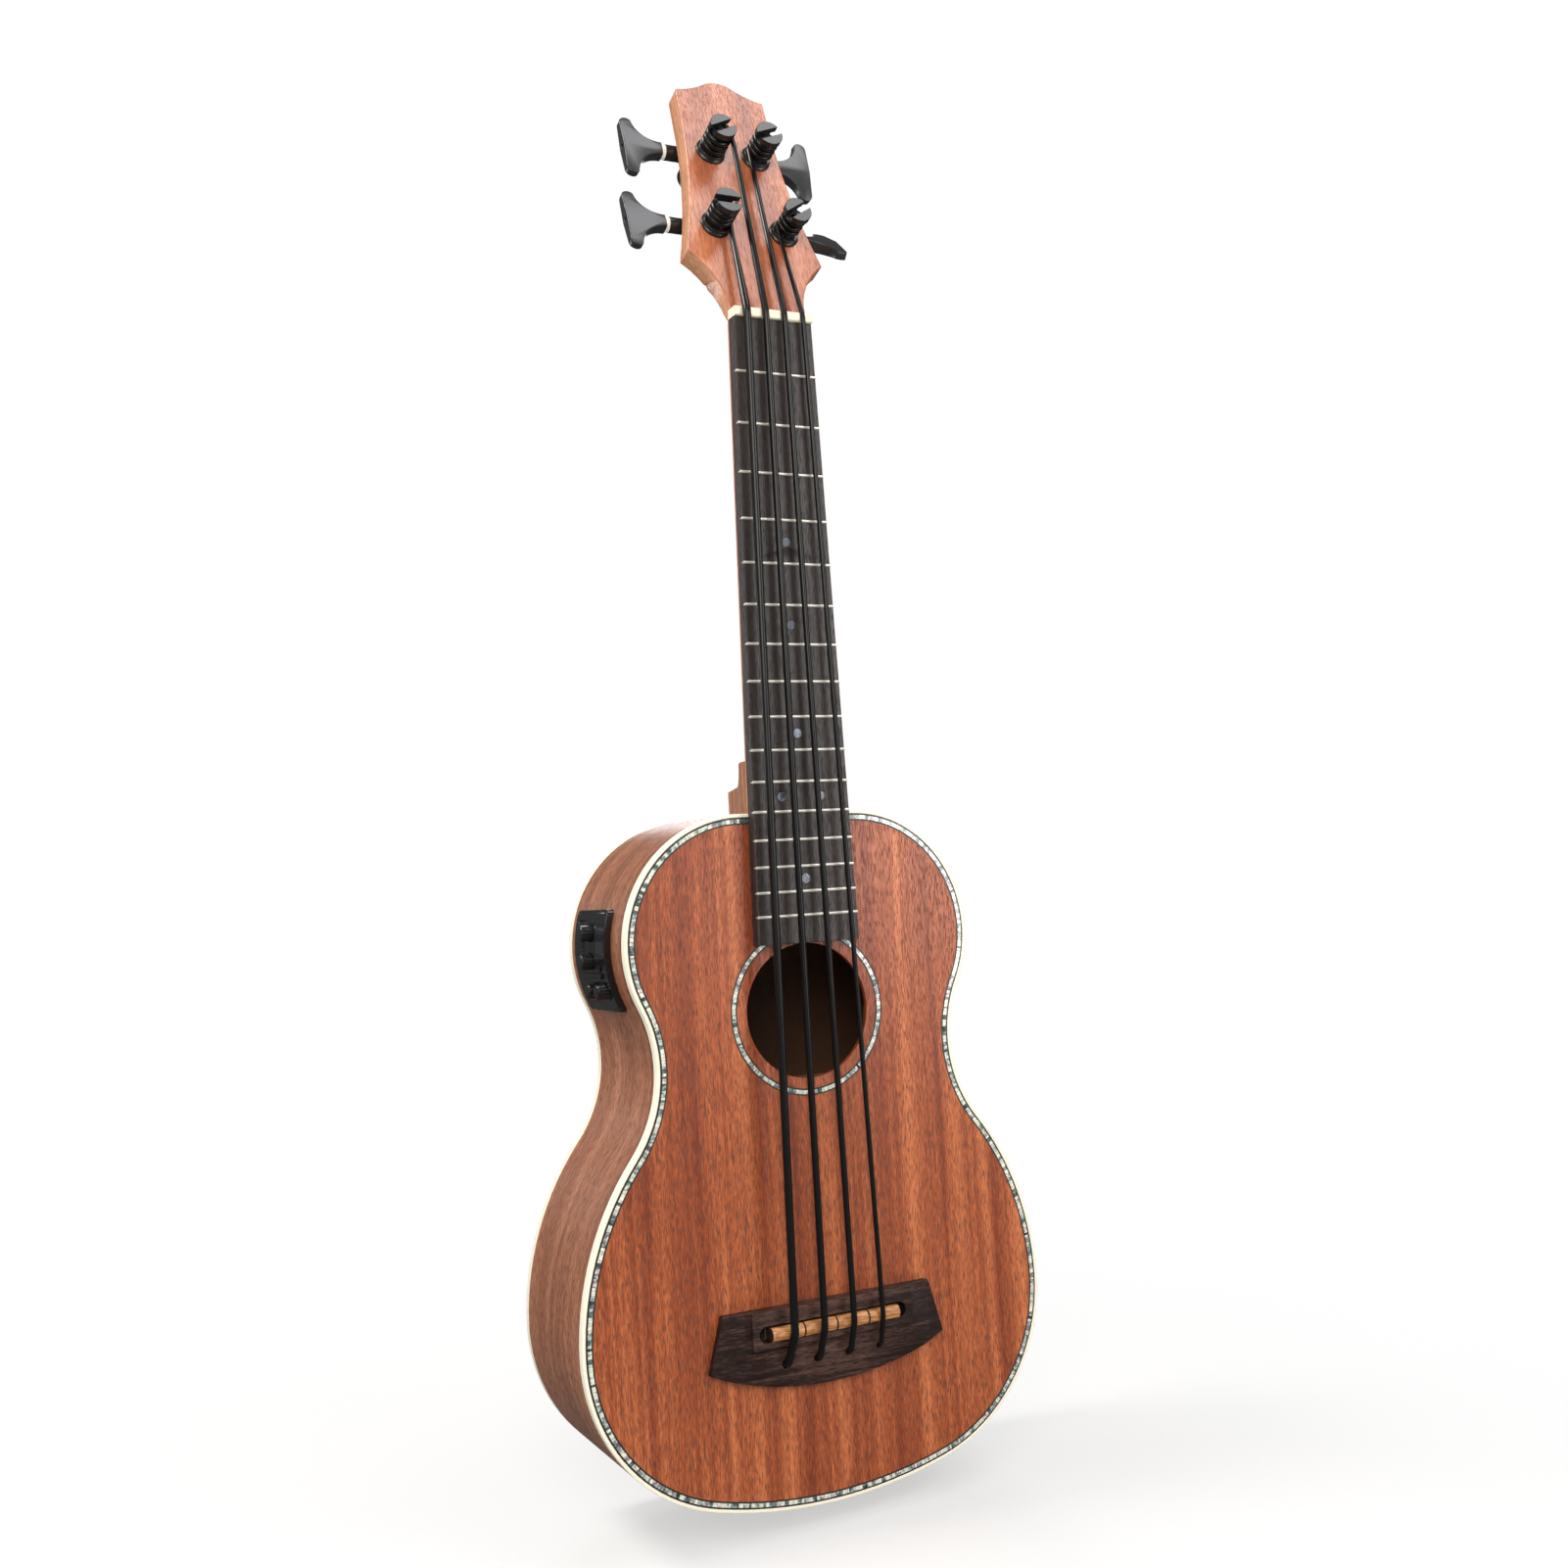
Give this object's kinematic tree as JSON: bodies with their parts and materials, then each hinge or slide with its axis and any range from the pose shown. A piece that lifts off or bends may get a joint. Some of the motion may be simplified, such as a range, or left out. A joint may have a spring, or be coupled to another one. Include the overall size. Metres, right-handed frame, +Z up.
{
  "type": "bass ukulele",
  "caption": "Small four-string bass ukulele with an on-board preamp, geared tuning machines and thick polymer strings.",
  "frame": {"origin": "centre of the output jack's mouth where it meets the tail of the body", "axes": "+Z up the neck to the headstock, the soundboard faces -Y, +X is the treble side and the preamp is on -X"},
  "size_m": [0.266, 0.1117, 0.7895],
  "materials": {
    "top_wood": "reddish mahogany under satin lacquer",
    "body_wood": "brown mahogany under satin lacquer",
    "neck_wood": "orange-brown hardwood under satin lacquer",
    "dark_wood": "open-pored dark hardwood",
    "inside_wood": "bare softwood",
    "binding": "polished cream plastic",
    "shell": "iridescent shell",
    "black_line": "black strip",
    "fret_metal": "polished nickel silver",
    "dot": "pearl",
    "bone": "bone-coloured plastic",
    "saddle_wood": "tan close-grained hardwood",
    "strip": "grey pickup strip",
    "string": "matte black polymer",
    "black_plastic": "fine-textured black plastic",
    "display": "smooth dark window",
    "black_metal": "satin black plating",
    "steel": "bare steel",
    "cell": "bright cell can",
    "nylon": "white nylon",
    "key_plastic": "black moulded plastic"
  },
  "bodies": {
    "ukulele": {"back_plate": "body_wood", "binding_back": "binding", "binding_front": "binding", "braces_back": "inside_wood", "braces_front": "inside_wood", "bridge": "dark_wood", "bridge_plate": "inside_wood", "end_graft": "body_wood", "fingerboard": "dark_wood", "frets": "fret_metal", "inlay_lines": "black_line", "jack_barrel": "steel", "key_washers": "nylon", "linings": "inside_wood", "neck": "neck_wood", "neck_block": "inside_wood", "nut": "bone", "piezo_strip": "strip", "position_dots": "dot", "preamp_bezel": "black_plastic", "preamp_case": "black_plastic", "preamp_screws": "black_metal", "purfling_shell": "shell", "rosette_shell": "shell", "saddles": "saddle_wood", "side_bass": "body_wood", "side_treble": "body_wood", "soundboard": "top_wood", "strap_button": "steel", "string_1": "string", "string_2": "string", "string_3": "string", "string_4": "string", "string_windings": "string", "tail_block": "inside_wood", "tuner_bushings": "black_metal", "tuner_display": "display", "tuner_housings": "black_metal", "tuner_screws": "black_metal"},
    "lower_bass_key": {"key_1": "key_plastic", "key_shaft_1": "steel"},
    "lower_bass_post": {"post_1": "black_metal"},
    "upper_bass_key": {"key_2": "key_plastic", "key_shaft_2": "steel"},
    "upper_bass_post": {"post_2": "black_metal"},
    "upper_treble_key": {"key_3": "key_plastic", "key_shaft_3": "steel"},
    "upper_treble_post": {"post_3": "black_metal"},
    "lower_treble_key": {"key_4": "key_plastic", "key_shaft_4": "steel"},
    "lower_treble_post": {"post_4": "black_metal"},
    "volume_knob": {"preamp_knob_1": "black_plastic"},
    "treble_knob": {"preamp_knob_2": "black_plastic"},
    "middle_knob": {"preamp_knob_3": "black_plastic"},
    "bass_knob": {"preamp_knob_4": "black_plastic"},
    "tuner_button": {"preamp_button_1": "black_plastic"},
    "phase_button": {"preamp_button_2": "black_plastic"},
    "battery_drawer": {"battery_tray": "black_plastic", "battery_cells": "cell"}
  },
  "joints": [
    {"name": "lower_bass_key_turn", "type": "hinge", "parent": "ukulele", "child": "lower_bass_key", "pos_m": [-0.0207, -0.0114, 0.68504], "axis": [1, 0, 0], "continuous": true},
    {"name": "lower_bass_post_turn", "type": "hinge", "parent": "ukulele", "child": "lower_bass_post", "pos_m": [-0.0207, -0.03247, 0.67889], "axis": [0, -0.9521, 0.3057], "continuous": true},
    {"name": "upper_bass_key_turn", "type": "hinge", "parent": "ukulele", "child": "upper_bass_key", "pos_m": [-0.0139, 0.00434, 0.73408], "axis": [1, 0, 0], "continuous": true},
    {"name": "upper_bass_post_turn", "type": "hinge", "parent": "ukulele", "child": "upper_bass_post", "pos_m": [-0.0139, -0.01673, 0.72792], "axis": [0, -0.9521, 0.3057], "continuous": true},
    {"name": "upper_treble_key_turn", "type": "hinge", "parent": "ukulele", "child": "upper_treble_key", "pos_m": [0.0139, 0.00434, 0.73408], "axis": [1, 0, 0], "continuous": true},
    {"name": "upper_treble_post_turn", "type": "hinge", "parent": "ukulele", "child": "upper_treble_post", "pos_m": [0.0139, -0.01673, 0.72792], "axis": [0, -0.9521, 0.3057], "continuous": true},
    {"name": "lower_treble_key_turn", "type": "hinge", "parent": "ukulele", "child": "lower_treble_key", "pos_m": [0.0207, -0.0114, 0.68504], "axis": [1, 0, 0], "continuous": true},
    {"name": "lower_treble_post_turn", "type": "hinge", "parent": "ukulele", "child": "lower_treble_post", "pos_m": [0.0207, -0.03247, 0.67889], "axis": [0, -0.9521, 0.3057], "continuous": true},
    {"name": "volume_knob_turn", "type": "hinge", "parent": "ukulele", "child": "volume_knob", "pos_m": [-0.1, -0.006, 0.2995], "axis": [-1, 0, 0], "range_deg": [-135, 135]},
    {"name": "treble_knob_turn", "type": "hinge", "parent": "ukulele", "child": "treble_knob", "pos_m": [-0.1, -0.006, 0.2846], "axis": [-1, 0, 0], "range_deg": [-135, 135]},
    {"name": "middle_knob_turn", "type": "hinge", "parent": "ukulele", "child": "middle_knob", "pos_m": [-0.1, -0.006, 0.2692], "axis": [-1, 0, 0], "range_deg": [-135, 135]},
    {"name": "bass_knob_turn", "type": "hinge", "parent": "ukulele", "child": "bass_knob", "pos_m": [-0.1, -0.0196, 0.2692], "axis": [-1, 0, 0], "range_deg": [-135, 135]},
    {"name": "tuner_button_press", "type": "slide", "parent": "ukulele", "child": "tuner_button", "axis": [1, 0, 0], "range_m": [0, 0.0008], "stiffness_N_per_m": 300},
    {"name": "phase_button_press", "type": "slide", "parent": "ukulele", "child": "phase_button", "axis": [1, 0, 0], "range_m": [0, 0.0008], "stiffness_N_per_m": 300},
    {"name": "battery_drawer_slide", "type": "slide", "parent": "ukulele", "child": "battery_drawer", "axis": [-1, 0, 0], "range_m": [0, 0.024]}
  ],
  "couplings": [
    {"joint": "lower_bass_post_turn", "follows": "lower_bass_key_turn", "ratio": 0.05},
    {"joint": "upper_bass_post_turn", "follows": "upper_bass_key_turn", "ratio": 0.05},
    {"joint": "upper_treble_post_turn", "follows": "upper_treble_key_turn", "ratio": 0.05},
    {"joint": "lower_treble_post_turn", "follows": "lower_treble_key_turn", "ratio": 0.05}
  ]
}
